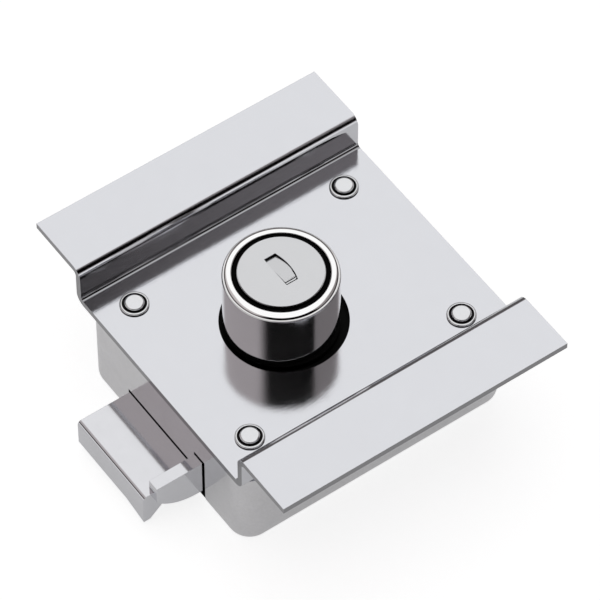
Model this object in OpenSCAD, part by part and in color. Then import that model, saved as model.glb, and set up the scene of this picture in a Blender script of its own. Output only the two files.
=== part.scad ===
// Box lock with a push cylinder and a sprung hook bolt.
// The origin is on the cylinder's axis, in the plane of the flanges' upper faces. +Z is the
// way that the cylinder stands out, and the bolt leaves the case along -X.
// Heights in the modules are taken from the plate's upper face, which from_plate() puts
// below the origin.

/* [Cover plate] */
// Length of the folded plate along X
plate_len = 70; // [66:0.5:90]
// From the plate's bolt side edge to the cylinder's axis
plate_front = 30.5; // [30:0.5:36]
// Width between the inner faces of the two upright webs
trough_w = 55.9; // [54:0.1:70]
// Thickness of the sheet
sheet_t = 1.5; // [1:0.1:2]
// Height of the flanges' upper faces over the plate
flange_h = 8.8; // [7:0.1:14]
// Width of each flange from the web's inner face to its free edge
flange_w = 15.8; // [8:0.1:25]
// Inner radius of the four folds
fold_r = 0.9; // [0.5:0.1:1.5]
// Gap between the sleeve and the edge of the plate's hole
hole_gap = 1.4; // [1:0.05:2.5]
// How far the hole's centre lies from the cylinder's axis along X
hole_dx = 0.35; // [-0.4:0.05:0.4]
// How far the hole's centre lies from the cylinder's axis along Y
hole_dy = -0.45; // [-0.5:0.05:0.5]

/* [Case] */
// From the cylinder's axis to the outside of the bolt side wall
case_front = 30.2; // [29.9:0.1:30.4]
// From the cylinder's axis to the outside of the far wall
case_back = 36.4; // [35.5:0.1:38]
// From the cylinder's axis to the outside of the wall on the -Y side
case_near = 29.3; // [28.5:0.1:34]
// From the cylinder's axis to the outside of the wall on the +Y side
case_far = 26.6; // [26:0.1:34]
// Depth of the case from the plate's underside
case_depth = 21.5; // [20.5:0.1:30]
// Wall of the drawn case
case_t = 1.2; // [0.8:0.1:1.6]
// Radius of the upright corners
corner_r = 5; // [3:0.5:8]
// Radius of the edge round the case's floor
floor_r = 3; // [1.8:0.1:4]

/* [Rivets] */
// Spacing of the rivets along X
rivet_dx = 52.8; // [50:0.1:54]
// Spacing of the rivets along Y
rivet_dy = 41; // [39:0.1:43]
// From the cylinder's axis to the middle of the rivet pattern
rivet_off = 4.1; // [3:0.1:5]
// Radius of a rivet's shank
shank_r = 2; // [1.5:0.1:2.4]
// Radius of the flat collar under a rivet's button
rivet_r = 3.1; // [2.8:0.05:3.4]
// Radius of a rivet's button
button_r = 2.2; // [1.6:0.05:2.4]
// Height of the button over the plate
button_h = 1; // [0.8:0.05:1.4]
// Radius of the posts between the plate and the case's floor
post_r = 2.9; // [2.7:0.1:3.1]

/* [Push cylinder] */
// Outer radius of the push sleeve
sleeve_r = 12; // [11.8:0.05:12.1]
// Height of the sleeve's rim over the plate
sleeve_h = 15.8; // [12:0.1:20]
// Wall of the push sleeve
sleeve_wall = 1.95; // [1.6:0.05:2.1]
// Radius of the sleeve's rounded rim
rim_r = 1.2; // [0.6:0.1:1.5]
// How far the cylinder pushes in
push_travel = 7; // [5:0.1:7]
// Width of the black ring between the sleeve and the plug's face
seal_w = 0.95; // [0.8:0.05:1.4]
// Radius of the turning plug
plug_r = 6.5; // [6:0.1:7.2]
// Running clearance of the plug in the barrel
plug_gap = 0.06; // [0.02:0.01:0.1]
// How far the plug's face stands over the sleeve's rim
face_rise = 0.2; // [0:0.05:0.4]

/* [Keyhole] */
// Length of the keyhole along Y
key_len = 8; // [7:0.1:8.4]
// Width of the keyhole at its straight end
key_w = 2.75; // [2.5:0.05:3]
// How far the keyhole's long side bulges
key_bulge = 0.65; // [0.3:0.05:0.8]
// Depth of the shutter's tip under the plug's face
shutter_drop = 0.9; // [0.6:0.05:1.1]
// Thickness of the shutter
shutter_t = 0.5; // [0.4:0.05:0.6]

/* [Bolt] */
// Reach of the bolt past the case's bolt side wall
bolt_reach = 13; // [12.5:0.1:14]
// From the cylinder's axis to the bolt's side at -Y
bolt_near = 12.5; // [12.2:0.1:12.9]
// From the cylinder's axis to the bolt's side at +Y
bolt_far = 11.2; // [10.8:0.1:11.5]
// Depth of the bolt's flat top under the plate's upper face
bolt_z = 13.6; // [13.5:0.05:13.9]
// Thickness of the bolt's sliding plate
bolt_t = 3; // [2.5:0.1:3.2]
// Thickness of the raised cheek beside the bolt
cheek_t = 2.7; // [2:0.1:2.8]
// Height of the cheek over the bolt's flat top
cheek_h = 4.95; // [3:0.05:5.6]
// Radius of the cheek's round belly
belly_r = 13; // [12.5:0.1:13.4]
// Depth of the hook's lip under the bolt's flat top
lip_h = 7.2; // [6:0.1:8]
// Clearance round the bolt in the case's opening
bolt_gap = 0.5; // [0.3:0.05:0.6]
// Bolt travel for each millimetre that the cylinder pushes in
ramp_ratio = 1.7; // [1.5:0.05:1.7]

/* [Spring] */
// Mean radius of the bolt spring
coil_r = 3; // [2.8:0.1:3.1]
// Radius of the spring's wire
wire_r = 0.45; // [0.35:0.05:0.5]
// Number of curls
curls = 9; // [8:1:10]

/* [Hidden] */
$fn = 64;
// Overshoot of cuts
eps = 0.1;
// Clearance of sliding pieces, and of shanks in their holes
slide_gap = 0.3;
shank_gap = 0.1;

// Levels, all from the plate's upper face
under_z = -sheet_t;
floor_out = under_z - case_depth;
floor_in = floor_out + case_t;
web_y = trough_w / 2;
flange_y = web_y + flange_w;

// Stroke of the bolt
stroke = push_travel * ramp_ratio;

// Push cylinder, from its rim downwards
hole_r = sleeve_r + hole_gap;
sleeve_bore_r = sleeve_r - sleeve_wall;
face_r = sleeve_bore_r - seal_w;
face_z = sleeve_h + face_rise;
disc_t = 1.7;
disc_z = face_z - disc_t;
barrel_top = disc_z - 0.1;
barrel_end = -1;
barrel_floor = 2;
barrel_r = sleeve_bore_r - 0.1;
plug_end = barrel_end + barrel_floor + 0.2;
stem_r = 2.6;
flat_hx = 1.7;
flat_gap = 0.05;
tail_gap = 0.35;
tail_t = 1.8;
tail_top = barrel_end - tail_gap;
sleeve_end = -6;
cup_floor = 1.8;
cup_wall = 1.5;
clip_t = 1;
clip_r = sleeve_r + 1.7;
groove_depth = 0.55;
waist_low = -0.7;
waist_high = 0.3;
waist_cut = 0.3;
guide_t = 2.9;
clip_top = under_z - guide_t - 0.2;
driver_pin_r = 0.75;
driver_pin_z = barrel_end - 1.6;

// Keyhole, on the plug's face, with its straight end at +Y
key_top = 4.5;
key_left = -1.1;
key_right = key_left + key_w;
key_mid_y = key_top - key_len / 2;
key_depth = 13;
key_bow_r = (pow(key_len / 2, 2) + pow(key_bulge, 2)) / (2 * key_bulge);
shutter_gap = 0.15;
shutter_pin_r = 0.35;
shutter_eye_r = 0.7;
shutter_y = key_top - key_len + shutter_gap + shutter_eye_r;
shutter_z = face_z - 0.1 - shutter_eye_r;

// Driver's wedge and the ramp it pushes
wedge_hx = 4;
wedge_hy = 6.5;
wedge_low = -(bolt_z + 0.9);
ramp_hy = 7;
ramp_gap = 0.25;
ramp_low = floor_in + 0.5;
ramp_foot = floor_in + 0.8;
ramp_toe = -wedge_hx - (ramp_foot_rise()) * ramp_ratio;
ramp_end = 2;
ramp_top_x = ramp_toe + (-bolt_z - ramp_foot) * ramp_ratio;

// Bolt
nose_x = -(case_front + bolt_reach);
lap_start = nose_x + 15.2;
lap_end = lap_start + 8;
lap_hy = 8;
lap_z = -bolt_z - bolt_t / 2;
bolt_low = -bolt_z - bolt_t;
plate_end = 14;
nose_edge_r = 1;
lip_t = 1.6;
lip_edge = 0.3;
lip_low = -bolt_z - lip_h;
tab_h = 1.3;
tab_w = 6.2;
rib_w = 2.6;
window_start = -wedge_hx - stroke - 0.5;
slot_hy = coil_r + wire_r + 0.7;
cheek_y = -(bolt_near + cheek_t);
cheek_top = -bolt_z + cheek_h;
cheek_x = nose_x + 1.7;
cheek_end = nose_x + 16.7;
belly_x = nose_x + 11.8;
belly_z = -5;

// Guide block: four legs beside the sliding plate
leg_in = 9;
leg_out = 13;
leg_w = 3.4;
leg_gap = slide_gap;
shelf_w = 2.2;
shelf_z = -(bolt_z + bolt_t) - 0.2;
guide_hx = 14;

// Spring and its anchor
spring_z = floor_in + coil_r + wire_r + 1;
anchor_x = 28;
anchor_rivet_x = anchor_x + 3.45;
anchor_foot = anchor_x + 5.3;
anchor_t = 1.5;
anchor_top = -bolt_z + 0.4;
anchor_hy = 6;
nose_r = coil_r - wire_r - 0.3;
nose_len = 4;
small_rivet_r = 1.2;
bolt_rivet_y = 5;

// How far the wedge's low end lies over the ramp's foot, less their gap
function ramp_foot_rise() = wedge_low - ramp_gap - ramp_foot;

rivet_places = [for (sx = [-1, 1], sy = [-1, 1])
    [rivet_off + sx * rivet_dx / 2, sy * rivet_dy / 2]];

// Puts heights above the plate's upper face into the part's own frame
module from_plate() {
    translate([0, 0, -flange_h])
        children();
}

// A box from its low corner to its high corner
module block(low, high) {
    translate(low)
        cube(high - low);
}

// A quarter of a folded sheet's ring, in the quadrant toward +x and +y
module fold_ring() {
    intersection() {
        difference() {
            circle(r = fold_r + sheet_t);
            circle(r = fold_r);
        }
        square(fold_r + sheet_t);
    }
}

// Half of the folded section, drawn with x outward and y upward
module plate_section() {
    web_mid = [web_y - fold_r, fold_r];
    top_mid = [web_y + sheet_t + fold_r, flange_h - sheet_t - fold_r];
    translate([0, -sheet_t])
        square([web_mid[0], sheet_t]);
    translate(web_mid)
        mirror([0, 1])
            fold_ring();
    translate([web_y, web_mid[1]])
        square([sheet_t, top_mid[1] - web_mid[1]]);
    translate(top_mid)
        mirror([1, 0])
            fold_ring();
    translate([top_mid[0], flange_h - sheet_t])
        square([flange_y - top_mid[0], sheet_t]);
}

// Folded sheet with two raised flanges
module cover_plate() {
    color("gainsboro") from_plate()
        difference() {
            for (side = [0, 1])
                mirror([0, side, 0])
                    translate([plate_len - plate_front, 0, 0])
                        rotate([90, 0, -90])
                            mirror([1, 0, 0])
                                linear_extrude(plate_len)
                                    plate_section();
            translate([hole_dx, hole_dy, -sheet_t - eps])
                cylinder(r = hole_r, h = sheet_t + 2 * eps);
            for (p = rivet_places)
                translate([p[0], p[1], -sheet_t - eps])
                    cylinder(r = shank_r + shank_gap, h = sheet_t + 2 * eps);
        }
}

// Upright block with round corners and a round lower edge
module case_form(inset, low, high) {
    r = corner_r - inset;
    f = floor_r - inset;
    x0 = -case_front + inset + r;
    x1 = case_back - inset - r;
    y0 = -case_near + inset + r;
    y1 = case_far - inset - r;
    block([x0 - r, y0, low + f], [x1 + r, y1, high]);
    block([x0, y0 - r, low + f], [x1, y1 + r, high]);
    block([x0 - r + f, y0, low], [x1 + r - f, y1, high]);
    block([x0, y0 - r + f, low], [x1, y1 + r - f, high]);
    for (x = [x0, x1], y = [y0, y1])
        translate([x, y, low])
            corner_form(r, f, high - low);
    for (x = [x0 - r + f, x1 + r - f])
        translate([x, y1, low + f])
            rotate([90, 0, 0])
                cylinder(r = f, h = y1 - y0);
    for (y = [y0 - r + f, y1 + r - f])
        translate([x0, y, low + f])
            rotate([0, 90, 0])
                cylinder(r = f, h = x1 - x0);
}

// One round corner of the case, with its lower edge rounded too
module corner_form(r, f, h) {
    rotate_extrude()
        union() {
            translate([0, f])
                square([r, h - f]);
            square([r - f, h]);
            translate([r - f, f])
                intersection() {
                    circle(r = f);
                    translate([0, -f])
                        square([f, 2 * f]);
                }
        }
}

// Drawn case, open at the top, with the bolt's opening in its -X wall
module lock_case() {
    wall_x = -case_front - eps;
    cut_x = -case_front + floor_r;
    color("silver") from_plate()
        difference() {
            case_form(0, floor_out, under_z);
            case_form(case_t, floor_in, under_z + eps);
            block([wall_x, -bolt_near - bolt_gap, floor_in],
                  [cut_x, bolt_far + bolt_gap, -bolt_z + bolt_gap]);
            block([wall_x, cheek_y - bolt_gap, floor_in],
                  [cut_x, -bolt_near + bolt_gap, cheek_top + bolt_gap]);
            for (p = rivet_places)
                translate([p[0], p[1], floor_out - eps]) {
                    cylinder(r = shank_r + shank_gap, h = case_t + 2 * eps);
                    cylinder(r1 = shank_r + 1 + shank_gap, r2 = shank_r + shank_gap, h = 0.9);
                }
            translate([anchor_rivet_x, 0, floor_out - eps])
                cylinder(r = small_rivet_r + shank_gap, h = case_t + 2 * eps);
        }
}

// Rivet with a flat collar, a groove and a button, set flush under the case's floor
module rivet() {
    collar_h = 0.55;
    groove_w = 0.35;
    round_r = 0.45;
    rotate_extrude() {
        difference() {
            square([rivet_r, collar_h]);
            translate([button_r, collar_h - 0.3])
                square([groove_w, 0.3 + eps]);
            translate([rivet_r - 0.3, collar_h - 0.3])
                difference() {
                    square(0.3 + eps);
                    circle(r = 0.3);
                }
        }
        square([button_r, button_h - round_r]);
        square([button_r - round_r, button_h]);
        translate([button_r - round_r, button_h - round_r])
            intersection() {
                circle(r = round_r);
                square(round_r);
            }
        translate([0, floor_out])
            square([shank_r, -floor_out]);
        translate([0, floor_out])
            polygon([[0, 0], [shank_r + 0.8, 0], [shank_r, 0.8], [0, 0.8]]);
    }
}

// The four rivets that hold the plate to the case
module rivets() {
    color("whitesmoke") from_plate()
        for (p = rivet_places)
            translate([p[0], p[1], 0])
                rivet();
}

// Posts that keep the plate and the case's floor apart
module rivet_posts() {
    color("darkgray") from_plate()
        for (p = rivet_places)
            translate([p[0], p[1], floor_in])
                difference() {
                    cylinder(r = post_r, h = under_z - floor_in);
                    translate([0, 0, -eps])
                        cylinder(r = shank_r + shank_gap, h = under_z - floor_in + 2 * eps);
                }
}

// One leg of the guide block, on the side y_in, with a shelf under the sliding plate
module guide_leg(x_low, y_in, side) {
    y_out = y_in + side * leg_w;
    y_shelf = y_in - side * shelf_w;
    block([x_low, min(y_in, y_out), floor_in],
          [x_low + leg_out - leg_in, max(y_in, y_out), under_z]);
    block([x_low, min(y_in, y_shelf), floor_in],
          [x_low + leg_out - leg_in, max(y_in, y_shelf), shelf_z]);
}

// Moulded block that guides the sleeve and the bolt's sliding plate
module guide_block() {
    far_y = bolt_far + leg_gap;
    near_y = -bolt_near - leg_gap;
    color("black") from_plate()
        difference() {
            union() {
                block([-guide_hx, near_y - leg_w, under_z - guide_t],
                      [guide_hx, far_y + leg_w, under_z]);
                for (x_low = [-leg_out, leg_in]) {
                    guide_leg(x_low, far_y, 1);
                    guide_leg(x_low, near_y, -1);
                }
            }
            translate([0, 0, under_z - guide_t - eps])
                cylinder(r = sleeve_r + 0.1, h = guide_t + 2 * eps);
        }
}

// Bracket that the bolt spring pushes against
module spring_anchor() {
    color("darkgray") from_plate()
        difference() {
            union() {
                block([anchor_x, -anchor_hy, floor_in], [anchor_x + anchor_t, anchor_hy, anchor_top]);
                block([anchor_x, -anchor_hy, floor_in], [anchor_foot, anchor_hy, floor_in + anchor_t]);
                translate([anchor_x - nose_len, 0, spring_z])
                    rotate([0, 90, 0])
                        cylinder(r = nose_r, h = nose_len + anchor_t / 2);
            }
            translate([anchor_rivet_x, 0, floor_in - eps])
                cylinder(r = small_rivet_r + shank_gap, h = anchor_t + 2 * eps);
        }
}

// Rivet through the anchor's foot and the case's floor
module anchor_rivet() {
    head_h = 1;
    color("gray") from_plate()
        translate([anchor_rivet_x, 0, 0])
            rotate_extrude() {
                translate([0, floor_out])
                    square([small_rivet_r, case_t + anchor_t + eps]);
                translate([0, floor_in + anchor_t])
                    square([small_rivet_r + 0.6, head_h]);
            }
}

// Side outline of the hook below the bolt's underside, down to the given lip
module hook_section(low) {
    polygon([[nose_x, bolt_low], [nose_x, low + lip_edge], [nose_x + lip_edge, low],
             [nose_x + lip_t, low], [nose_x + lip_t + bolt_low - low, bolt_low]]);
}

// Side outline of the head, drawn with x along X and y along Z
module nose_section() {
    hook_section(lip_low);
    polygon([[nose_x, -bolt_z - nose_edge_r], [nose_x, bolt_low - eps],
             [nose_x + lip_t, bolt_low - eps], [nose_x + lip_t, bolt_low],
             [lap_start, bolt_low], [lap_start, lap_z], [lap_end, lap_z],
             [lap_end, -bolt_z], [nose_x + nose_edge_r, -bolt_z]]);
    translate([nose_x + nose_edge_r, -bolt_z - nose_edge_r])
        circle(r = nose_edge_r);
}

// Side outline under a given top, with an upright front and a round belly
module belly_section(top, x_end) {
    intersection() {
        translate([belly_x, belly_z])
            circle(r = belly_r);
        translate([cheek_x, belly_z - belly_r])
            square([belly_x - cheek_x, top - belly_z + belly_r]);
    }
    translate([belly_x - eps, belly_z - belly_r])
        square([x_end - belly_x + eps, top - belly_z + belly_r]);
}

// A side outline in X and Z, given its width from y_low to y_high
module across(y_low, y_high) {
    translate([0, y_high, 0])
        rotate([90, 0, 0])
            linear_extrude(y_high - y_low)
                children();
}

// Cast head of the bolt, with its hooked nose, its cheek, and a rib below its other side
module bolt_head() {
    color("silver") from_plate()
        difference() {
            union() {
                across(-bolt_near, bolt_far)
                    nose_section();
                // the hook's lip grows deeper toward its side at -Y
                hull() {
                    across(-bolt_near, -bolt_near + eps)
                        hook_section(lip_low - tab_h);
                    across(-bolt_near + tab_w - eps, -bolt_near + tab_w)
                        hook_section(lip_low);
                }
                across(cheek_y, -bolt_near + eps)
                    belly_section(cheek_top, cheek_end);
                across(bolt_far - rib_w, bolt_far)
                    belly_section(-bolt_z - eps, lap_start);
            }
            block([lap_start, -bolt_near, bolt_low - eps], [lap_end + eps, bolt_far + eps, lap_z]);
            bolt_rivet_holes();
        }
}

// Holes for the two rivets of the bolt
module bolt_rivet_holes() {
    for (y = [-bolt_rivet_y, bolt_rivet_y])
        translate([(lap_start + lap_end) / 2, y, bolt_low - eps])
            cylinder(r = small_rivet_r + shank_gap, h = bolt_t + 2 * eps);
}

// Sliding plate with the tongue of its lap, the wedge's window and the spring's slot
module bolt_plate() {
    color("darkgray") from_plate()
        difference() {
            union() {
                block([lap_end, -bolt_near, bolt_low], [plate_end, bolt_far, -bolt_z]);
                block([lap_start, -lap_hy, bolt_low], [lap_end + eps, lap_hy, lap_z]);
            }
            block([window_start, -ramp_hy, bolt_low - eps], [ramp_end, ramp_hy, -bolt_z + eps]);
            block([ramp_end - eps, -slot_hy, bolt_low - eps],
                  [plate_end + eps, slot_hy, -bolt_z + eps]);
            bolt_rivet_holes();
            ramp_pin_form(shank_gap);
        }
}

// Rivets that join the head and the sliding plate
module bolt_rivets() {
    color("gray") from_plate()
        for (y = [-bolt_rivet_y, bolt_rivet_y])
            translate([(lap_start + lap_end) / 2, y, bolt_low])
                cylinder(r = small_rivet_r, h = bolt_t);
}

// Cross pin of the ramp, widened by a clearance
module ramp_pin_form(gap) {
    translate([0, bolt_far + (gap > 0 ? eps : -0.2), -bolt_z - bolt_t / 2])
        rotate([90, 0, 0])
            cylinder(r = 0.9 + gap, h = bolt_far + bolt_near + (gap > 0 ? 2 * eps : -0.4));
}

// Sloped block that the wedge pushes, with the spring's nose on its back
module ramp_block() {
    color("dimgray") from_plate()
        difference() {
            union() {
                across(-ramp_hy, ramp_hy)
                    polygon([[ramp_toe, ramp_low], [ramp_toe, ramp_foot], [ramp_top_x, -bolt_z],
                             [ramp_end, -bolt_z], [ramp_end, ramp_low]]);
                translate([ramp_end - 1, 0, spring_z])
                    rotate([0, 90, 0])
                        cylinder(r = nose_r, h = nose_len + 1);
            }
            ramp_pin_form(shank_gap);
        }
}

// Pin that holds the ramp in the sliding plate
module ramp_pin() {
    color("gray") from_plate()
        ramp_pin_form(0);
}

// Centre of the spring's wire at t curls from the ramp's end
spring_start = ramp_end + wire_r + 0.05;
spring_len = anchor_x - ramp_end - 2 * wire_r - 0.1;
// How much of a full pitch the two end curls rise
end_share = 0.6;
spring_sides = 6;
spring_rings = 8;
function spring_ease(t) = end_share * (min(t, 1) + max(0, t - curls + 1))
    + max(0, min(t - 1, curls - 2));
function spring_x(t) = spring_start + spring_len * spring_ease(t) / spring_ease(curls);
function spring_point(t, k) =
    let (a = 360 * t, b = 360 * k / spring_sides, r = coil_r + wire_r * cos(b))
    [spring_x(t) + wire_r * sin(b), r * sin(a), spring_z + r * cos(a)];
spring_points = [for (i = [0 : curls * spring_rings], k = [0 : spring_sides - 1])
    spring_point(i / spring_rings, k)];

// Least gap between one curl's wire and the next one's, measured on the wire's points
spring_turn = spring_rings * spring_sides;
spring_least = min([for (i = [0 : len(spring_points) - 1 - spring_turn], k = [0 : spring_sides - 1])
    let (j = i + spring_turn - i % spring_sides + k)
    if (j < len(spring_points)) norm(spring_points[i] - spring_points[j])]);
echo(spring_least_gap = spring_least);

// Coil spring between the ramp and the anchor, as one unbroken tube
module bolt_spring() {
    rings = curls * spring_rings;
    s = spring_sides;
    sides = [for (i = [0 : rings - 1], k = [0 : s - 1])
        let (a = i * s + k, b = i * s + (k + 1) % s)
        each [[a, b, a + s], [b, b + s, a + s]]];
    start_cap = [for (k = [1 : s - 2]) [0, k + 1, k]];
    end_cap = [for (k = [1 : s - 2]) [rings * s, rings * s + k, rings * s + k + 1]];
    color("lightgray") from_plate()
        polyhedron(points = spring_points, faces = concat(sides, start_cap, end_cap));
}

// Polished sleeve that is pushed in, with a rounded rim and a groove for its ring
module push_sleeve() {
    color("silver") from_plate()
        difference() {
            union() {
                translate([0, 0, sleeve_end])
                    cylinder(r = sleeve_r, h = sleeve_h - rim_r - sleeve_end);
                rotate_extrude()
                    intersection() {
                        union() {
                            translate([sleeve_r - rim_r, sleeve_h - rim_r])
                                circle(r = rim_r);
                            square([sleeve_r - rim_r, sleeve_h]);
                        }
                        translate([0, sleeve_h - rim_r - eps])
                            square([sleeve_r, rim_r + eps]);
                    }
            }
            translate([0, 0, sleeve_end - eps])
                cylinder(r = sleeve_bore_r, h = sleeve_h - sleeve_end + 2 * eps);
            translate([0, 0, clip_top - clip_t - 0.05])
                difference() {
                    cylinder(r = sleeve_r + eps, h = clip_t + 0.1);
                    translate([0, 0, -eps])
                        cylinder(r = sleeve_r - groove_depth, h = clip_t + 0.1 + 2 * eps);
                }
            // waist in the plate's hole
            translate([0, 0, waist_low])
                difference() {
                    cylinder(r = sleeve_r + eps, h = waist_high - waist_low);
                    translate([0, 0, -eps])
                        cylinder(r = sleeve_r - waist_cut, h = waist_high - waist_low + 2 * eps);
                }
            driver_pin_forms(shank_gap);
        }
}

// Fixed body of the cylinder, with the bore for the plug
module cylinder_barrel() {
    color("khaki") from_plate()
        difference() {
            translate([0, 0, barrel_end])
                cylinder(r = barrel_r, h = barrel_top - barrel_end);
            translate([0, 0, barrel_end + barrel_floor])
                cylinder(r = plug_r + plug_gap, h = barrel_top - barrel_end);
            translate([0, 0, barrel_end - eps])
                cylinder(r = stem_r + plug_gap, h = barrel_floor + 2 * eps);
        }
}

// Black ring between the sleeve and the plug's face
module seal_ring() {
    ring_drop = 0.4;
    color("black") from_plate()
        translate([0, 0, barrel_top])
            difference() {
                cylinder(r = barrel_r, h = sleeve_h - ring_drop - barrel_top);
                translate([0, 0, -eps])
                    cylinder(r = face_r + 0.15, h = sleeve_h);
            }
}

// Spring ring that stops the sleeve under the guide block
module retaining_ring() {
    mouth = 5;
    color("dimgray") from_plate()
        translate([0, 0, clip_top - clip_t])
            difference() {
                cylinder(r = clip_r, h = clip_t);
                translate([0, 0, -eps])
                    cylinder(r = sleeve_r - groove_depth + 0.05, h = clip_t + 2 * eps);
                block([sleeve_r / 2, -mouth / 2, -eps], [clip_r + 1, mouth / 2, clip_t + eps]);
            }
}

// Radial pins through the sleeve into the driver, widened by a clearance
module driver_pin_forms(gap) {
    for (turn = [90, 270])
        rotate([0, 0, turn])
            translate([sleeve_bore_r - cup_wall + 0.2, 0, driver_pin_z])
                rotate([0, 90, 0])
                    cylinder(r = driver_pin_r + gap,
                             h = sleeve_r - sleeve_bore_r + cup_wall - 0.3 + (gap > 0 ? 0.3 : 0));
}

// The two radial pins
module driver_pins() {
    color("gray") from_plate()
        driver_pin_forms(0);
}

// Cup at the sleeve's end that carries the wedge
module driver_cup() {
    wedge_high = wedge_low + 2 * wedge_hx / ramp_ratio;
    color("slategray") from_plate()
        difference() {
            union() {
                translate([0, 0, sleeve_end])
                    difference() {
                        cylinder(r = barrel_r, h = barrel_end - sleeve_end);
                        translate([0, 0, cup_floor])
                            cylinder(r = barrel_r - cup_wall, h = barrel_end - sleeve_end);
                    }
                across(-wedge_hy, wedge_hy)
                    polygon([[-wedge_hx, wedge_low], [wedge_hx, wedge_high],
                             [wedge_hx, sleeve_end + cup_floor / 2],
                             [-wedge_hx, sleeve_end + cup_floor / 2]]);
            }
            driver_pin_forms(shank_gap);
        }
}

// Outline of the keyhole, grown by a margin, with one long side bowed outward
module keyhole_outline(margin) {
    reach = key_w + key_bulge + 2 * margin;
    intersection() {
        translate([key_left - margin, key_top - key_len - margin])
            square([reach, key_len + 2 * margin]);
        translate([key_right + key_bulge - key_bow_r, key_mid_y])
            circle(r = key_bow_r + margin, $fn = 180);
    }
}

// Turning plug with its face, its keyway and its stem
module key_plug() {
    edge = 0.25;
    color("gainsboro") from_plate()
        difference() {
            union() {
                translate([0, 0, disc_z])
                    cylinder(r = face_r, h = disc_t - edge);
                translate([0, 0, face_z - edge])
                    cylinder(r1 = face_r, r2 = face_r - edge, h = edge);
                translate([0, 0, plug_end])
                    cylinder(r = plug_r, h = disc_z - plug_end + eps);
                translate([0, 0, tail_top - tail_t - 0.6])
                    cylinder(r = stem_r, h = plug_end - tail_top + tail_t + 0.6 + eps);
            }
            translate([0, 0, face_z - key_depth])
                linear_extrude(key_depth + eps)
                    keyhole_outline(0);
            // room under the face for the flap's bowed side
            block([key_left, key_top - key_len, face_z - key_depth],
                  [key_right + key_bulge, key_top, disc_z]);
            shutter_pin_form(0.02);
            tail_flats();
        }
}

// Flats on the stem's end that turn the tail cam
module tail_flats() {
    for (side = [-1, 1])
        block([side > 0 ? flat_hx : -stem_r - eps, -stem_r - eps, tail_top - tail_t - 1],
              [side > 0 ? stem_r + eps : -flat_hx, stem_r + eps, tail_top + flat_gap]);
}

// Pin that the shutter swings on, widened by a clearance
module shutter_pin_form(gap) {
    translate([key_left - 1, shutter_y, shutter_z])
        rotate([0, 90, 0])
            cylinder(r = shutter_pin_r + gap, h = key_w + 2);
}

// The shutter's pin
module shutter_pin() {
    color("gray") from_plate()
        shutter_pin_form(0);
}

// Flap that closes the keyhole and swings inward, nearly flush at its pin and lower at its tip
module shutter() {
    tip_y = key_top - shutter_gap;
    tip_z = face_z - shutter_drop;
    color("whitesmoke") from_plate()
        difference() {
            intersection() {
                union() {
                    translate([key_left + shutter_gap, 0, 0])
                        rotate([90, 0, 90])
                            linear_extrude(key_w + key_bulge)
                                polygon([[shutter_y, shutter_z + shutter_eye_r],
                                         [shutter_y, shutter_z], [tip_y, tip_z - shutter_t],
                                         [tip_y, tip_z]]);
                    translate([key_left + shutter_gap, shutter_y, shutter_z])
                        rotate([0, 90, 0])
                            cylinder(r = shutter_eye_r, h = key_w - 2 * shutter_gap);
                }
                translate([0, 0, face_z - key_depth])
                    linear_extrude(key_depth)
                        keyhole_outline(-shutter_gap);
            }
            shutter_pin_form(0.05);
        }
}

// Stem's hole in a piece that its flats turn, with its clearance
module stem_hole(gap, h) {
    translate([0, 0, -eps])
        linear_extrude(h + 2 * eps)
            intersection() {
                circle(r = stem_r + gap);
                square([2 * (flat_hx + gap), 3 * stem_r], center = true);
            }
}

// Cam on the plug's stem, turned by the key
module tail_cam() {
    cam_len = stem_r + 5;
    cam_hub = stem_r + 1.4;
    cam_hw = 2.4;
    color("darkgoldenrod") from_plate()
        translate([0, 0, tail_top - tail_t])
            difference() {
                union() {
                    cylinder(r = cam_hub, h = tail_t);
                    block([-cam_hw, 0, 0], [cam_hw, cam_len, tail_t]);
                }
                stem_hole(flat_gap, tail_t);
            }
}

// Clip that holds the cam on the stem
module tail_clip() {
    thick = 0.5;
    color("dimgray") from_plate()
        translate([0, 0, tail_top - tail_t - thick])
            difference() {
                cylinder(r = stem_r + 1, h = thick);
                stem_hole(flat_gap / 2, thick);
            }
}

cover_plate();
lock_case();
rivets();
rivet_posts();
guide_block();
spring_anchor();
anchor_rivet();
bolt_head();
bolt_plate();
bolt_rivets();
ramp_block();
ramp_pin();
bolt_spring();
push_sleeve();
cylinder_barrel();
seal_ring();
retaining_ring();
driver_cup();
driver_pins();
key_plug();
shutter_pin();
tail_cam();
tail_clip();
shutter();
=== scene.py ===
"""Looks of the box lock: finishes, edge-broken copies of the solids, turned pieces and studio.

Lengths in the data classes are in millimetres, and angles in degrees. Meshes are in metres.
"""

import logging
import math
from dataclasses import dataclass, replace
from enum import Enum
from typing import Any, Iterable, Sequence, Union

import bmesh
import bpy
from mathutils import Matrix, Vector


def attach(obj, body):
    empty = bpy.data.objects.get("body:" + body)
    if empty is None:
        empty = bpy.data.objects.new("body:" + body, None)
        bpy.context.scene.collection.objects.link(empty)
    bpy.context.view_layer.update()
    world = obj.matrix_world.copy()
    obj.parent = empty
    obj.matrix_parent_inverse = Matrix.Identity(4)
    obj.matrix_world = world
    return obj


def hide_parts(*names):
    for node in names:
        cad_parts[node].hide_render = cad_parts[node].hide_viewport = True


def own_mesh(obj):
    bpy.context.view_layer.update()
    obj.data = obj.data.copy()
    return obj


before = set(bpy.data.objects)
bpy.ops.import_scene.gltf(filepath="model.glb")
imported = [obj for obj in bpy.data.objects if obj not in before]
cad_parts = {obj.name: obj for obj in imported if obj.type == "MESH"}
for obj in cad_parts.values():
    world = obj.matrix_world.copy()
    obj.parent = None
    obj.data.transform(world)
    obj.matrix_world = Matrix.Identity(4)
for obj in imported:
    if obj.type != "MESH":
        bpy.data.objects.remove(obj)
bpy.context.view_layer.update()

MM = 0.001
PLATE_LEVEL = -8.8
MARK_DEPTH = 0.02 * MM
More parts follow.
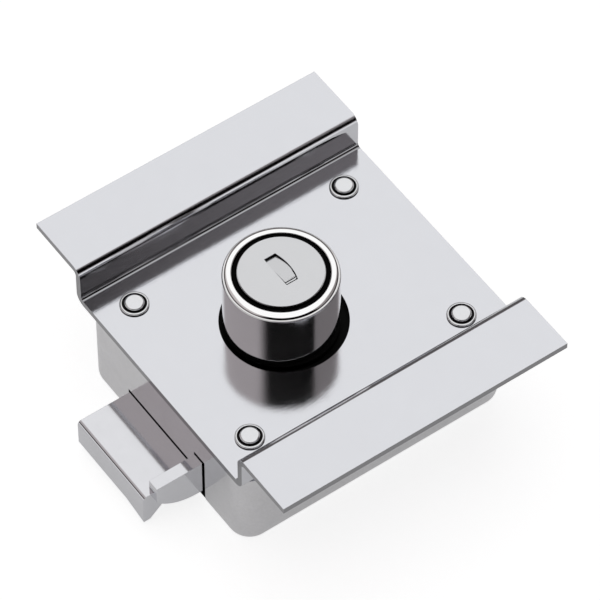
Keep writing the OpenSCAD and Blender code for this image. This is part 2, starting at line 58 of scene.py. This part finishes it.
WELD = 0.002 * MM
SEAM = 0.0005 * MM
TOUCH = 1e-6
FLAT_ANGLE = 0.3
SHARP_ANGLE = 50.0
CLOUD_SCALE = (55.0, 55.0, 55.0)
SMEAR_SCALE = (300.0, 210.0, 250.0)
LEAST_ROUGH = 0.03
WHITE = (1.0, 1.0, 1.0)
# Near-black colour of the painted shade, and the depth it reaches below its height.
PAINTED_SHADE_COLOUR = (0.01, 0.01, 0.01)
PAINTED_SHADE_DEPTH = 6.0 * MM
# Near-white colour of the painted highlight.
PAINTED_HIGHLIGHT_COLOUR = (0.97, 0.97, 0.97)
# Grey of the painted shade on the sheet's edges.
PAINTED_EDGE_SHADE = (0.3, 0.3, 0.31)
log = logging.getLogger("box_lock")

Number = Union[float, int]
Rgb = tuple[float, float, float]
Point = tuple[float, float]


class Wire:
    """An output socket whose arithmetic adds Math nodes to its tree."""

    def __init__(self, desk: "Desk", socket: bpy.types.NodeSocket) -> None:
        """Keeps the tree's desk and the socket."""
        self.desk = desk
        self.socket = socket

    def _with(self, operation: str, first: Any, second: Any = None) -> "Wire":
        """Adds one Math node.

        Args:
            operation: The Math node's operation.
            first: A wire or a number.
            second: A wire or a number, where the operation takes two.

        Returns:
            The node's value.
        """
        values = {0: first} if second is None else {0: first, 1: second}
        return self.desk.node("ShaderNodeMath", {"operation": operation}, values)

    def __add__(self, other: Any) -> "Wire":
        """self + other."""
        return self._with("ADD", self, other)

    def __radd__(self, other: Any) -> "Wire":
        """other + self."""
        return self._with("ADD", other, self)

    def __sub__(self, other: Any) -> "Wire":
        """self - other."""
        return self._with("SUBTRACT", self, other)

    def __rsub__(self, other: Any) -> "Wire":
        """other - self."""
        return self._with("SUBTRACT", other, self)

    def __mul__(self, other: Any) -> "Wire":
        """self * other."""
        return self._with("MULTIPLY", self, other)

    def root(self) -> "Wire":
        """The square root."""
        return self._with("SQRT", self)

    def size(self) -> "Wire":
        """The value without its sign."""
        return self._with("ABSOLUTE", self)

    def at_least(self, low: Number) -> "Wire":
        """The larger of self and low."""
        return self._with("MAXIMUM", self, low)

    def at_most(self, high: Number) -> "Wire":
        """The smaller of self and high."""
        return self._with("MINIMUM", self, high)

    def ramp(self, low: Number, high: Number) -> "Wire":
        """Rises smoothly from 0 at low to 1 at high.

        Args:
            low: Where the ramp leaves 0.
            high: Where the ramp reaches 1.

        Returns:
            The ramp's value, from 0 to 1.
        """
        return self.desk.node(
            "ShaderNodeMapRange",
            {"interpolation_type": "SMOOTHSTEP"},
            {"Value": self, "From Min": low, "From Max": high},
        )


class Desk:
    """Adds nodes to one node tree."""

    def __init__(self, tree: bpy.types.NodeTree) -> None:
        """Empties the tree."""
        self.tree = tree
        tree.nodes.clear()

    def node(
        self,
        kind: str,
        settings: dict[str, Any],
        inputs: dict[Union[str, int], Any],
        out: Union[str, int] = 0,
    ) -> Wire:
        """Adds a node, sets it up and fills its sockets.

        Args:
            kind: The node's type.
            settings: Its settings, which are made first.
            inputs: A wire or a value for each socket, by name or place.
            out: The output that is wanted.

        Returns:
            The wire of that output.
        """
        made = self.tree.nodes.new(kind)
        for key, value in settings.items():
            setattr(made, key, value)
        for key, value in inputs.items():
            socket = made.inputs[key]
            if isinstance(value, Wire):
                self.tree.links.new(value.socket, socket)
            else:
                socket.default_value = value
        return Wire(self, made.outputs[out])

    def end(self, kind: str, shader: Wire) -> None:
        """Leads a shader into the tree's output.

        Args:
            kind: The output node's type.
            shader: The shader's wire.
        """
        made = self.tree.nodes.new(kind)
        self.tree.links.new(shader.socket, made.inputs["Surface"])

    def mix(self, factor: Any, first: Any, second: Any) -> Wire:
        """Mixes two colours.

        Args:
            factor: 0 gives the first colour and 1 the second.
            first: A colour or a wire.
            second: A colour or a wire.

        Returns:
            The mixed colour.
        """
        made = self.tree.nodes.new("ShaderNodeMix")
        made.data_type = "RGBA"
        sockets = {"Factor_Float": factor, "A_Color": first, "B_Color": second}
        for socket in made.inputs:
            if socket.identifier in sockets:
                value = sockets[socket.identifier]
                if isinstance(value, Wire):
                    self.tree.links.new(value.socket, socket)
                else:
                    socket.default_value = value
        found = [s for s in made.outputs if s.identifier == "Result_Color"]
        return Wire(self, found[0])

    def place(self) -> Wire:
        """The point's place on its object."""
        return self.node("ShaderNodeTexCoord", {}, {}, "Object")

    def stretched(self, scale: Sequence[float]) -> Wire:
        """The object coordinates scaled along each axis.

        Args:
            scale: The scale along X, Y and Z, for each metre.

        Returns:
            The scaled vector.
        """
        return self.node("ShaderNodeMapping", {}, {"Vector": self.place(), "Scale": tuple(scale)})

    def noise(self, scale: Sequence[float], detail: float = 3.0) -> Wire:
        """Noise on the object coordinates.

        Args:
            scale: The scale along X, Y and Z, for each metre.
            detail: The noise's detail.

        Returns:
            The noise, around one half.
        """
        return self.node(
            "ShaderNodeTexNoise",
            {},
            {"Vector": self.stretched(scale), "Scale": 1.0, "Detail": detail, "Roughness": 0.55},
        )

    def part(self, axis: str) -> Wire:
        """One object coordinate, in metres."""
        return self.node("ShaderNodeSeparateXYZ", {}, {"Vector": self.place()}, axis)

    def radius(self) -> Wire:
        """The distance from the Z axis, in metres."""
        x, y = self.part("X"), self.part("Y")
        return (x * x + y * y).root()


def rgba(colour: Rgb) -> tuple[float, float, float, float]:
    """The colour with full alpha."""
    return (colour[0], colour[1], colour[2], 1.0)


class Grain(Enum):
    """How a surface was worked, which sets the run of its marks."""

    ALONG_X = "rolled sheet"
    ROUND = "turned about the cylinder's axis"
    CAST = "cast and polished"
    FLAT = "plated or moulded"


@dataclass(frozen=True)
class Finish:
    """One surface finish, made as a node material.

    painted_shade_heights and painted_highlight_heights are heights of painted light. Below the
    first a painted shade makes the colour near black as far down as PAINTED_SHADE_DEPTH, and
    above the second a painted highlight makes it near white. wave is the depth of a sheet's slow
    waves, and paints_edge_shade puts a painted shade on the faces that carry the "edge_shade"
    attribute.
    """

    name: str
    tint: Rgb
    rough: float
    grain: Grain = Grain.FLAT
    metal: float = 1.0
    spread: float = 0.06
    shade: float = 0.06
    bump: float = 0.04
    mark_scale: float = 2500.0
    shine: float = 0.5
    wave: float = 0.0
    # Heights of the painted shade, which darkens recesses to near black.
    painted_shade_heights: Union[Point, None] = None
    # Heights of the painted highlight, above which the colour turns near white.
    painted_highlight_heights: Union[Point, None] = None
    # Whether marked faces get a painted shade, on the sheet's edges and fold.
    paints_edge_shade: bool = False

    def marks(self, desk: Desk) -> Wire:
        """The fine marks left by working the surface.

        Args:
            desk: The material's desk.

        Returns:
            The marks' height, around one half.
        """
        fine = self.mark_scale
        if self.grain is Grain.ALONG_X:
            return desk.noise((fine * 0.03, fine, fine))
        if self.grain is Grain.ROUND:
            return desk.node(
                "ShaderNodeTexNoise",
                {"noise_dimensions": "1D"},
                {"W": desk.radius(), "Scale": fine, "Detail": 2.0},
            )
        if self.grain is Grain.CAST:
            return desk.noise((fine * 0.5,) * 3, 4.0)
        return desk.noise((fine,) * 3)

    def make(self) -> bpy.types.Material:
        """Builds the material.

        Returns:
            The finished material.
        """
        made = bpy.data.materials.new(self.name)
        made.use_nodes = True
        desk = Desk(made.node_tree)
        marks = self.marks(desk)
        clouds = desk.noise(CLOUD_SCALE, 2.0)
        smears = desk.noise(SMEAR_SCALE, 4.0)
        rough = self.rough + (marks - 0.5) * self.spread + (clouds - 0.5) * (self.spread * 0.8)
        rough = rough + (smears - 0.5) * (self.spread * 0.5)
        dark = tuple(c * (1.0 - 2.0 * self.shade) for c in self.tint)
        light = tuple(min(1.0, c * (1.0 + self.shade)) for c in self.tint)
        mixing = (marks * 0.5 + clouds * 0.25 + smears * 0.25).ramp(0.25, 0.75)
        colour = desk.mix(mixing, rgba(dark), rgba(light))
        # Painted shade: below the lower height the colour falls to near black for a set depth,
        # rising back to the tint above it.
        if self.painted_shade_heights is not None:
            low, high = (level * MM for level in self.painted_shade_heights)
            rise = desk.part("Z")
            unshaded = rise.ramp(low, high) + 1.0 - rise.ramp(low - PAINTED_SHADE_DEPTH, low - PAINTED_SHADE_DEPTH / 2)
            colour = desk.mix(unshaded.at_most(1.0), rgba(PAINTED_SHADE_COLOUR), colour)
        # Painted highlight: above the given heights the colour turns near white.
        if self.painted_highlight_heights is not None:
            low, high = (level * MM for level in self.painted_highlight_heights)
            colour = desk.mix(desk.part("Z").ramp(low, high), colour, rgba(PAINTED_HIGHLIGHT_COLOUR))
        # Painted shade on the faces whose edge attribute is set.
        if self.paints_edge_shade:
            edge_shade = desk.node("ShaderNodeAttribute", {"attribute_name": "edge_shade"}, {}, "Fac")
            colour = desk.mix(edge_shade, colour, rgba(PAINTED_EDGE_SHADE))
        height = desk.node(
            "ShaderNodeBump",
            {},
            {"Strength": self.bump, "Distance": MARK_DEPTH, "Height": marks},
            "Normal",
        )
        if self.wave:
            height = desk.node(
                "ShaderNodeBump",
                {},
                {
                    "Strength": 1.0,
                    "Distance": self.wave * MM,
                    "Height": smears,
                    "Normal": height,
                },
                "Normal",
            )
        shader = desk.node(
            "ShaderNodeBsdfPrincipled",
            {},
            {
                "Base Color": colour,
                "Roughness": rough.at_least(LEAST_ROUGH),
                "Metallic": self.metal,
                "Specular IOR Level": self.shine,
                "Normal": height,
            },
        )
        desk.end("ShaderNodeOutputMaterial", shader)
        return made


# The sheet gets a painted shade on its end edges and in the foot of its far fold.
SATIN = Finish(
    "satin_sheet",
    (0.715, 0.722, 0.755),
    0.1,
    Grain.ALONG_X,
    spread=0.03,
    shade=0.012,
    bump=0.3,
    mark_scale=9000.0,
    wave=0.006,
    paints_edge_shade=True,
)
DRAWN = Finish(
    "drawn_case", (0.75, 0.745, 0.76), 0.15, shade=0.04, bump=0.01, mark_scale=1800.0, wave=0.02
)
# Painted shade darkens the rivets' groove floor and the foot of their collars.
RIVET = Finish("rivet_steel", (0.76, 0.765, 0.78), 0.12, shade=0.03, painted_shade_heights=(-8.68, -8.5))
# Painted shade turns the sleeve near black where it sinks below the plate into the hole, and a
# painted highlight whitens its rounded rim.
CHROME = Finish(
    "sleeve_chrome",
    (0.76, 0.75, 0.755),
    0.08,
    Grain.ROUND,
    spread=0.03,
    shade=0.02,
    bump=0.004,
    painted_shade_heights=(-9.0, -8.9),
    painted_highlight_heights=(6.2, 6.5),
)
FACE = Finish(
    "plug_face",
    (0.68, 0.685, 0.70),
    0.24,
    Grain.ROUND,
    spread=0.04,
    shade=0.02,
    bump=0.01,
    mark_scale=6000.0,
)
# Painted shade darkens the keyhole's walls below the plug's face.
PLUG = replace(FACE, name="plug_turned", painted_shade_heights=(7.0, 7.13))
CAST = Finish(
    "bolt_cast",
    (0.72, 0.722, 0.75),
    0.085,
    Grain.CAST,
    spread=0.03,
    shade=0.015,
    bump=0.01,
    mark_scale=900.0,
)
ZINC = Finish("zinc_plate", (0.58, 0.60, 0.62), 0.3, shade=0.1)
SPRING = Finish("dark_spring_steel", (0.28, 0.28, 0.30), 0.32)
BRASS = Finish("machined_brass", (0.74, 0.58, 0.30), 0.26, Grain.ROUND)
PLASTIC = Finish(
    "black_moulding", (0.004, 0.004, 0.004), 0.45, metal=0.0, bump=0.15, shine=0.05
)
RUBBER = Finish("black_seal", (0.002, 0.002, 0.002), 0.5, metal=0.0, bump=0.2, shine=0.03)


class Workshop:
    """Makes meshes into pieces and keeps one material for each finish."""

    def __init__(self) -> None:
        """Starts with no material."""
        self.made: dict[str, bpy.types.Material] = {}

    def material(self, finish: Finish) -> bpy.types.Material:
        """The material of a finish, made once."""
        if finish.name not in self.made:
            self.made[finish.name] = finish.make()
        return self.made[finish.name]

    def dress(self, finish: Finish, *nodes: str) -> None:
        """Gives CAD nodes their finish.

        Args:
            finish: The finish they get.
            nodes: The nodes' names.
        """
        for node in nodes:
            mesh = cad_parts[node].data
            mesh.materials.clear()
            mesh.materials.append(self.material(finish))
            log.info("node %s wears %s", node, finish.name)

    def piece(
        self,
        name: str,
        shape: bmesh.types.BMesh,
        finish: Finish,
        body: str,
        slot: str,
        stands_for: Iterable[str],
    ) -> bpy.types.Object:
        """Turns a bmesh into a piece that stands for some nodes.

        Args:
            name: The piece's name.
            shape: Its mesh, in the part's own frame, which is freed here.
            finish: Its finish.
            body: The body it rides on.
            slot: The record's material slot, which is not used.
            stands_for: The nodes that it replaces.

        Returns:
            The piece.
        """
        mesh = bpy.data.meshes.new(name)
        for face in shape.faces:
            face.smooth = True
        shape.to_mesh(mesh)
        shape.free()
        mesh.set_sharp_from_angle(angle=math.radians(SHARP_ANGLE))
        mesh.materials.append(self.material(finish))
        made = bpy.data.objects.new(name, mesh)
        bpy.context.scene.collection.objects.link(made)
        weights = made.modifiers.new("even_shading", "WEIGHTED_NORMAL")
        weights.weight = 100
        weights.keep_sharp = True
        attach(made, body)
        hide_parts(*stands_for)
        log.info("piece %s: %d faces on %s", name, len(mesh.polygons), body)
        return made


def sharp_edges(shape: bmesh.types.BMesh, angle: float) -> list[bmesh.types.BMEdge]:
    """The edges at which the surface turns by more than an angle.

    Args:
        shape: The mesh.
        angle: The least turn, in degrees.

    Returns:
        Those edges.
    """
    least = math.radians(angle)
    return [e for e in shape.edges if len(e.link_faces) == 2 and e.calc_face_angle() > least]


def eased(node: str, width: float, segments: int = 3, angle: float = 30.0) -> bmesh.types.BMesh:
    """A copy of a CAD node's mesh with its sharp edges rounded.

    Args:
        node: The node that is copied.
        width: The rounding's width, in millimetres.
        segments: The rounding's segments.
        angle: The least turn of a rounded edge, in degrees.

    Returns:
        The rounded mesh.
    """
    shape = bmesh.new()
    shape.from_mesh(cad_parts[node].data)
    bmesh.ops.remove_doubles(shape, verts=shape.verts, dist=WELD)
    bmesh.ops.dissolve_limit(
        shape, angle_limit=math.radians(FLAT_ANGLE), verts=shape.verts, edges=shape.edges
    )
    bmesh.ops.bevel(
        shape,
        geom=sharp_edges(shape, angle),
        offset=width * MM,
        offset_type="OFFSET",
        segments=segments,
        profile=0.5,
        affect="EDGES",
        material=-1,
        clamp_overlap=True,
    )
    return shape


def turned(
    profile: Sequence[Point],
    rounds: dict[int, tuple[float, int]],
    centre: Point = (0.0, 0.0),
    steps: int = 192,
    closed: bool = True,
) -> bmesh.types.BMesh:
    """Spins a profile about an upright axis and rounds some of its rings.

    Args:
        profile: Points (radius, height over the plate), in millimetres.
        rounds: For a point's place in the profile, its ring's rounding and segments.
        centre: The axis's X and Y, in millimetres.
        steps: The steps of a full turn.
        closed: Whether the last point joins the first one.

    Returns:
        The turned mesh.
    """
    shape = bmesh.new()
    axis = Vector((centre[0] * MM, centre[1] * MM, 0.0))
    line = [
        shape.verts.new(axis + Vector((r * MM, 0.0, (z + PLATE_LEVEL) * MM))) for r, z in profile
    ]
    pairs = list(zip(line, line[1:]))
    if closed:
        pairs.append((line[-1], line[0]))
    edges = [shape.edges.new(pair) for pair in pairs]
    bmesh.ops.spin(
        shape,
        geom=line + edges,
        cent=axis,
        axis=(0.0, 0.0, 1.0),
        angle=math.tau,
        steps=steps,
        use_merge=True,
    )
    bmesh.ops.remove_doubles(shape, verts=shape.verts, dist=SEAM)
    bmesh.ops.recalc_face_normals(shape, faces=shape.faces)
    for place, (radius, segments) in rounds.items():
        r, z = profile[place]
        level = (z + PLATE_LEVEL) * MM
        ring = [
            e
            for e in shape.edges
            if all(
                abs(v.co.z - level) < TOUCH
                and abs((v.co - axis).to_2d().length - r * MM) < TOUCH
                for v in e.verts
            )
        ]
        bmesh.ops.bevel(
            shape,
            geom=ring,
            offset=radius * MM,
            offset_type="OFFSET",
            segments=segments,
            profile=0.5,
            affect="EDGES",
            material=-1,
        )
    return shape


@dataclass
class Housing:
    """The folded plate, the case, the rivets and what stands still inside."""

    shop: Workshop
    edge: float = 0.22
    web_y: float = 27.95
    fold_r: float = 0.9
    rivet_places: tuple[Point, ...] = ((-22.3, -20.5), (-22.3, 20.5), (30.5, -20.5), (30.5, 20.5))
    collar_r: float = 3.1
    collar_h: float = 0.55
    button_r: float = 2.15
    button_h: float = 1.0
    groove_w: float = 0.42
    groove_floor: float = 0.08
    button_taper: float = 0.15
    dimple: tuple[Point, ...] = ((0.0, 0.05), (0.35, 0.03), (0.6, 0.0))
    shank_r: float = 2.0
    foot: float = 0.8
    floor: float = -23.0
    rivet_steps: int = 64

    def build(self) -> None:
        """Builds every piece of the housing."""
        self.plate()
        self.case()
        self.rivets()
        self.shop.dress(ZINC, "rivet_posts", "spring_anchor", "anchor_rivet")
        self.shop.dress(PLASTIC, "guide_block")

    def plate(self) -> None:
        """The folded plate with eased edges."""
        shape = eased("cover_plate", self.edge)
        self.paint_edge_shade(shape)
        self.shop.piece("folded_plate", shape, SATIN, "housing", "satin_steel", ["cover_plate"])

    def paint_edge_shade(self, shape: bmesh.types.BMesh) -> None:
        """Paints shade on the sheet's sheared edges and on the foot of its far fold, as a face
        attribute.

        Args:
            shape: The plate's mesh.
        """
        edge_shade = shape.faces.layers.float.new("edge_shade")
        inner, near, step = self.web_y - self.fold_r, 0.02 * MM, 0.05
        far = max(v.co.y for v in shape.verts)
        left = min(v.co.x for v in shape.verts)
        for face in shape.faces:
            centre = face.calc_center_median()
            level = abs(centre.y) < inner * MM
            at_end = (centre.x < left + near and level) or centre.y < near - far
            in_foot = (
                (inner + step) * MM < centre.y < self.web_y * MM + near / 2
                and PLATE_LEVEL * MM + TOUCH < centre.z < (PLATE_LEVEL + self.fold_r - step) * MM
            )
            # Painted shade: full on the sheet's end edges, 0.8 in the foot of the fold.
            face[edge_shade] = 1.0 if at_end else 0.8 if in_foot else 0.0

    def case(self) -> None:
        """The drawn case with eased edges."""
        shape = eased("lock_case", width=0.15, segments=2)
        self.shop.piece("drawn_case", shape, DRAWN, "housing", "satin_steel", ["lock_case"])

    def rivets(self) -> None:
        """The four rivets, as one piece of four solids."""
        profile = [(r, self.button_h - depth) for r, depth in self.dimple] + [
            (self.button_r, self.button_h),
            (self.button_r - self.button_taper, self.groove_floor),
            (self.button_r + self.groove_w, self.groove_floor),
            (self.button_r + self.groove_w, self.collar_h),
            (self.collar_r, self.collar_h),
            (self.collar_r, 0.0),
            (self.shank_r, 0.0),
            (self.shank_r, self.floor + self.foot),
            (self.shank_r + self.foot, self.floor),
            (0.0, self.floor),
        ]
        rounds = {3: (0.45, 5), 7: (0.3, 4), 6: (0.08, 2)}
        whole = bmesh.new()
        for place in self.rivet_places:
            one = turned(profile, rounds, place, self.rivet_steps, closed=False)
            passing = bpy.data.meshes.new("passing")
            one.to_mesh(passing)
            one.free()
            whole.from_mesh(passing)
            bpy.data.meshes.remove(passing)
        self.shop.piece("flanged_rivets", whole, RIVET, "housing", "bright_rivet", ["rivets"])


@dataclass
class PushCylinder:
    """The sleeve that is pushed in, its ring and what it carries."""

    shop: Workshop
    sleeve_r: float = 12.08
    bore_r: float = 10.05
    top: float = 15.8
    end: float = -6.0
    rim: float = 1.2
    seal_radii: Point = (9.12, 9.98)
    seal_heights: Point = (14.2, 15.4)
    groove: Point = (-5.65, -4.55)
    groove_depth: float = 0.55

    def build(self) -> None:
        """Builds the cylinder's pieces."""
        self.sleeve()
        self.seal()
        self.shop.dress(BRASS, "cylinder_barrel")
        self.shop.dress(SPRING, "retaining_ring")
        self.shop.dress(ZINC, "driver_cup", "driver_pins")

    def sleeve(self) -> None:
        """The polished sleeve with its rounded rim."""
        r = self.sleeve_r
        low, high = self.groove
        profile = [
            (self.bore_r, self.end),
            (r, self.end),
            (r, low),
            (r - self.groove_depth, low),
            (r - self.groove_depth, high),
            (r, high),
            (r, self.top),
            (self.bore_r, self.top),
        ]
        shape = turned(profile, {6: (self.rim, 10), 7: (0.25, 4)})
        self.shop.piece(
            "push_sleeve_turned", shape, CHROME, "button", "polished_chrome", ["push_sleeve"]
        )

    def seal(self) -> None:
        """The black ring round the plug's face."""
        inner, outer = self.seal_radii
        low, high = self.seal_heights
        profile = [(inner, low), (outer, low), (outer, high), (inner, high)]
        shape = turned(profile, {2: (0.15, 3), 3: (0.15, 3)})
        self.shop.piece(
            "seal_ring_moulded", shape, RUBBER, "button", "black_rubber", ["seal_ring"]
        )


@dataclass
class KeyPlug:
    """The turning plug, its shutter and its tail."""

    shop: Workshop
    pin_y: float = -2.65
    pin_z: float = 6.4
    face_z: float = 7.2
    flap_rise: float = 0.06
    flap_lift: float = 0.22
    bow_x: float = 1.3
    bow_end: float = 1.5
    bow_ease: float = 0.1
    end_depth: float = 0.3
    end_drop: float = 0.04

    def build(self) -> None:
        """Builds the plug's pieces."""
        shape = eased("key_plug", width=0.12)
        self.shop.piece("plug_with_face", shape, PLUG, "plug", "polished_face", ["key_plug"])
        self.flap()
        self.shop.dress(ZINC, "shutter_pin")
        self.shop.dress(BRASS, "tail_cam")
        self.shop.dress(SPRING, "tail_clip")

    def flap(self) -> None:
        """The keyhole's flap, nearer the face than the solid, with room at its bowed side."""
        shape = eased("shutter", width=0.06, segments=2)
        pin, tip = self.pin_y * MM, max(v.co.y for v in shape.verts)
        for vert in shape.verts:
            reach = max(0.0, (vert.co.y - pin) / (tip - pin))
            vert.co.z += (self.flap_rise + self.flap_lift * reach) * MM
            if vert.co.x > self.bow_x * MM and vert.co.y < pin + self.bow_end * MM:
                vert.co.x -= self.bow_ease * MM
            if vert.co.y < pin and vert.co.z > (self.pin_z + self.end_depth) * MM:
                vert.co.z = (self.face_z - self.end_drop) * MM
        self.shop.piece("shutter_flap", shape, FACE, "flap", "polished_face", ["shutter"])


@dataclass
class Bolt:
    """The hooked bolt, its sliding plate and its spring.

    tip_z keeps the hook's lip over the case's floor, so that the bolt can be drawn right in.
    """

    shop: Workshop
    spring_start: float = 2.0
    spring_end: float = 28.0
    spring_z: float = -26.0
    travel: float = 11.9
    tip_z: float = -30.55
    edge: float = 0.3

    def build(self) -> None:
        """Builds the bolt's pieces."""
        shape = eased("bolt_head", self.edge)
        for vert in shape.verts:
            vert.co.z = max(vert.co.z, self.tip_z * MM)
        self.shop.piece("hooked_head", shape, CAST, "bolt", "polished_cast", ["bolt_head"])
        self.shop.dress(ZINC, "bolt_plate", "bolt_rivets", "ramp_block", "ramp_pin")
        self.spring()

    def spring(self) -> None:
        """The coil spring, as one piece with a mesh of its own."""
        shape = bmesh.new()
        shape.from_mesh(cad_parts["bolt_spring"].data)
        bmesh.ops.remove_doubles(shape, verts=shape.verts, dist=WELD)
        coil = self.shop.piece(
            "return_spring", shape, SPRING, "bolt", "spring_steel", ["bolt_spring"]
        )
        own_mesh(coil)


@dataclass
class Studio:
    """The floor, the soft surroundings and the camera at the photograph's angle."""

    target: tuple[float, float, float] = (4.45, 0.0, -8.8)
    azimuth: float = -35.47
    elevation: float = 52.84
    distance: float = 988.21
    lens: float = 290.23
    sensor: float = 36.0
    sight: float = 20.0
    shift: Point = (0.0013, 0.0152)
    floor_level: float = -31.85
    floor_size: float = 3.0
    floor_grey: Rgb = (0.5, 0.5, 0.5)
    floor_glow: float = 0.8
    floor_mirrored: float = 0.38
    left_edge: Point = (-50.0, -24.0)
    left_level: float = 0.52
    right_edge: Point = (66.3, 69.5)
    right_level: float = 0.25
    back_edge: Point = (138.0, 160.0)
    sky_edge: Point = (57.0, 64.0)
    horizon_edge: Point = (8.0, 22.0)
    horizon_level: float = 0.95
    sky_level: float = 1.0
    low_edge: Point = (30.0, 42.0)
    rear_edge: Point = (33.0, 40.0)
    low_level: float = 0.12
    warm: Rgb = (1.0, 0.925, 0.925)

    def direction(self, turn: float, height: float) -> Vector:
        """A direction, as seen from the lock.

        Args:
            turn: Degrees to the camera's right, round the lock.
            height: Degrees over the floor.

        Returns:
            The unit vector towards it.
        """
        a = math.radians(self.azimuth + turn)
        e = math.radians(height)
        return Vector((math.sin(a) * math.cos(e), -math.cos(a) * math.cos(e), math.sin(e)))

    def build(self) -> None:
        """Builds the camera, the floor and the surroundings."""
        self.camera()
        self.floor()
        self.surroundings()

    def camera(self) -> None:
        """Sets the camera where the photograph's one stood."""
        data = bpy.data.cameras.new("photo_camera")
        data.lens = self.lens
        data.sensor_width = self.sensor
        data.shift_x, data.shift_y = self.shift
        data.clip_end = self.sight
        made = bpy.data.objects.new("photo_camera", data)
        towards = self.direction(0.0, self.elevation)
        made.location = (Vector(self.target) + towards * self.distance) * MM
        made.rotation_euler = towards.to_track_quat("Z", "Y").to_euler()
        bpy.context.scene.collection.objects.link(made)
        bpy.context.scene.camera = made
        log.info("camera stands %.0f mm away", self.distance)

    def floor(self) -> None:
        """The plain pale floor, white to the camera, dimmer in mirrors and clear from beneath."""
        shape = bmesh.new()
        bmesh.ops.create_grid(shape, x_segments=1, y_segments=1, size=self.floor_size)
        bmesh.ops.translate(shape, verts=shape.verts, vec=(0.0, 0.0, self.floor_level * MM))
        mesh = bpy.data.meshes.new("pale_floor")
        shape.to_mesh(mesh)
        shape.free()
        paint = bpy.data.materials.new("pale_floor")
        paint.use_nodes = True
        desk = Desk(paint.node_tree)
        bright, dim = self.seen(desk)
        matt = desk.node("ShaderNodeBsdfDiffuse", {}, {"Color": rgba(self.floor_grey)})
        strength = bright * self.floor_glow + dim * self.floor_mirrored
        glow = desk.node(
            "ShaderNodeEmission", {}, {"Color": rgba(WHITE), "Strength": strength}
        )
        both = desk.node("ShaderNodeAddShader", {}, {0: matt, 1: glow})
        under = desk.node("ShaderNodeNewGeometry", {}, {}, "Backfacing")
        clear = desk.node("ShaderNodeBsdfTransparent", {}, {})
        shown = desk.node("ShaderNodeMixShader", {}, {0: under, 1: both, 2: clear})
        desk.end("ShaderNodeOutputMaterial", shown)
        mesh.materials.append(paint)
        made = bpy.data.objects.new("pale_floor", mesh)
        bpy.context.scene.collection.objects.link(made)

    def seen(self, desk: Desk) -> tuple[Wire, Wire]:
        """Tells rays apart.

        Args:
            desk: The material's desk.

        Returns:
            A wire of 1 for camera and transmission rays, and one of 1 for glossy rays.
        """
        camera = desk.node("ShaderNodeLightPath", {}, {}, "Is Camera Ray")
        glossy = desk.node("ShaderNodeLightPath", {}, {}, "Is Glossy Ray")
        through = desk.node("ShaderNodeLightPath", {}, {}, "Is Transmission Ray")
        return (camera + through).at_most(1.0), glossy

    def surroundings(self) -> None:
        """Soft light round the lock: dark ahead, dim at the sides, pale behind and above."""
        world = bpy.data.worlds.new("studio")
        world.use_nodes = True
        desk = Desk(world.node_tree)
        across = self.share(desk, self.direction(90.0, 0.0))
        ahead = self.share(desk, self.direction(0.0, 0.0))
        rise = self.share(desk, Vector((0.0, 0.0, 1.0)))
        turn = desk.node("ShaderNodeMath", {"operation": "ARCTAN2"}, {0: across, 1: ahead})
        turn = turn * math.degrees(1.0)
        height = desk.node("ShaderNodeMath", {"operation": "ARCSINE"}, {0: rise})
        height = height * math.degrees(1.0)
        left = (1.0 - turn.ramp(*self.left_edge)) * self.left_level
        right = turn.ramp(*self.right_edge) * self.right_level
        belt = height.ramp(*self.low_edge) * (1.0 - self.low_level) + self.low_level
        sides = (left + right) * belt
        behind = turn.size().ramp(*self.back_edge)
        rear = height.ramp(*self.rear_edge) * (1.0 - self.low_level) + self.low_level
        level = sides + behind * (rear - sides)
        open_sky = height.ramp(*self.sky_edge)
        horizon = (1.0 - height.ramp(*self.horizon_edge)) * (1.0 - behind)
        level = level + (self.sky_level - level) * open_sky
        level = level + (self.horizon_level - level) * horizon
        camera = desk.node("ShaderNodeLightPath", {}, {}, "Is Camera Ray")
        strength = level * (1.0 - camera) + camera
        colour = desk.mix(strength.ramp(0.5, 0.9), rgba(self.warm), rgba(WHITE))
        glow = desk.node("ShaderNodeBackground", {}, {"Color": colour, "Strength": strength})
        desk.end("ShaderNodeOutputWorld", glow)
        bpy.context.scene.world = world

    def share(self, desk: Desk, way: Vector) -> Wire:
        """How far the looked-up direction goes along a given one.

        Args:
            desk: The world's desk.
            way: The given direction.

        Returns:
            The cosine between the two.
        """
        coordinates = desk.node("ShaderNodeTexCoord", {}, {}, "Generated")
        return desk.node(
            "ShaderNodeVectorMath",
            {"operation": "DOT_PRODUCT"},
            {0: coordinates, 1: tuple(way)},
            "Value",
        )


def main() -> None:
    """Builds the lock's looks and the studio, in order."""
    logging.basicConfig(level=logging.INFO, format="%(name)s: %(message)s")
    bpy.context.scene.view_settings.view_transform = "Standard"
    studio = Studio()
    studio.build()
    shop = Workshop()
    for part in (Housing(shop), PushCylinder(shop), KeyPlug(shop), Bolt(shop)):
        part.build()


if __name__ == "__main__":
    main()
